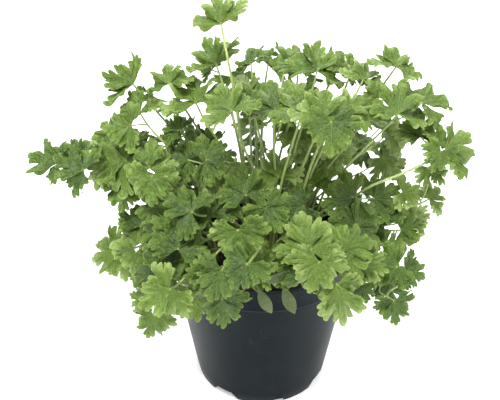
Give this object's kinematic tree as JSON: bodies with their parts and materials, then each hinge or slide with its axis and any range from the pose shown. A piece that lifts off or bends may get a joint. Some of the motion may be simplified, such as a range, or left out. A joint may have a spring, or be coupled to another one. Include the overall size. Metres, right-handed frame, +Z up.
{
  "type": "potted parsley",
  "caption": "Parsley plant with arching stalks and lobed leaves, growing in the soil of a tapered round nursery pot.",
  "frame": {"origin": "under the middle of the whole object's box, on the surface that the pot's foot stands on", "axes": "+Z up along the pot's axis, +Y from the front to the back, +X to the right as seen from the front, the plant's widest way"},
  "size_m": [0.2652, 0.1708, 0.2416],
  "materials": {
    "pot_plastic": "satin, dark slate",
    "potting_soil": "crumbly, dark brown",
    "leaf": "soft sheen, fresh green",
    "seed_leaf": "soft sheen, pale green"
  },
  "bodies": {
    "root": {"pot": "pot_plastic", "soil": "potting_soil", "seedling": "seed_leaf", "frond_01": "leaf", "frond_02": "leaf", "frond_03": "leaf", "frond_04": "leaf", "frond_05": "leaf", "frond_06": "leaf", "frond_07": "leaf", "frond_08": "leaf", "frond_09": "leaf", "frond_10": "leaf", "frond_11": "leaf", "frond_12": "leaf", "frond_13": "leaf", "frond_14": "leaf", "frond_15": "leaf", "frond_16": "leaf", "frond_17": "leaf", "frond_18": "leaf", "frond_19": "leaf", "frond_20": "leaf", "frond_21": "leaf", "frond_22": "leaf", "frond_23": "leaf", "frond_24": "leaf", "frond_25": "leaf", "frond_26": "leaf", "frond_27": "leaf", "frond_28": "leaf", "frond_29": "leaf", "frond_30": "leaf", "frond_31": "leaf", "frond_32": "leaf", "frond_33": "leaf", "frond_34": "leaf", "frond_35": "leaf", "frond_36": "leaf", "frond_37": "leaf", "frond_38": "leaf", "frond_39": "leaf", "frond_40": "leaf", "frond_41": "leaf", "frond_42": "leaf", "frond_43": "leaf", "frond_44": "leaf", "frond_45": "leaf", "frond_46": "leaf", "frond_47": "leaf", "frond_48": "leaf", "frond_49": "leaf", "frond_50": "leaf", "frond_51": "leaf", "frond_52": "leaf", "frond_53": "leaf", "frond_54": "leaf", "frond_55": "leaf", "frond_56": "leaf", "frond_57": "leaf"}
  },
  "joints": []
}
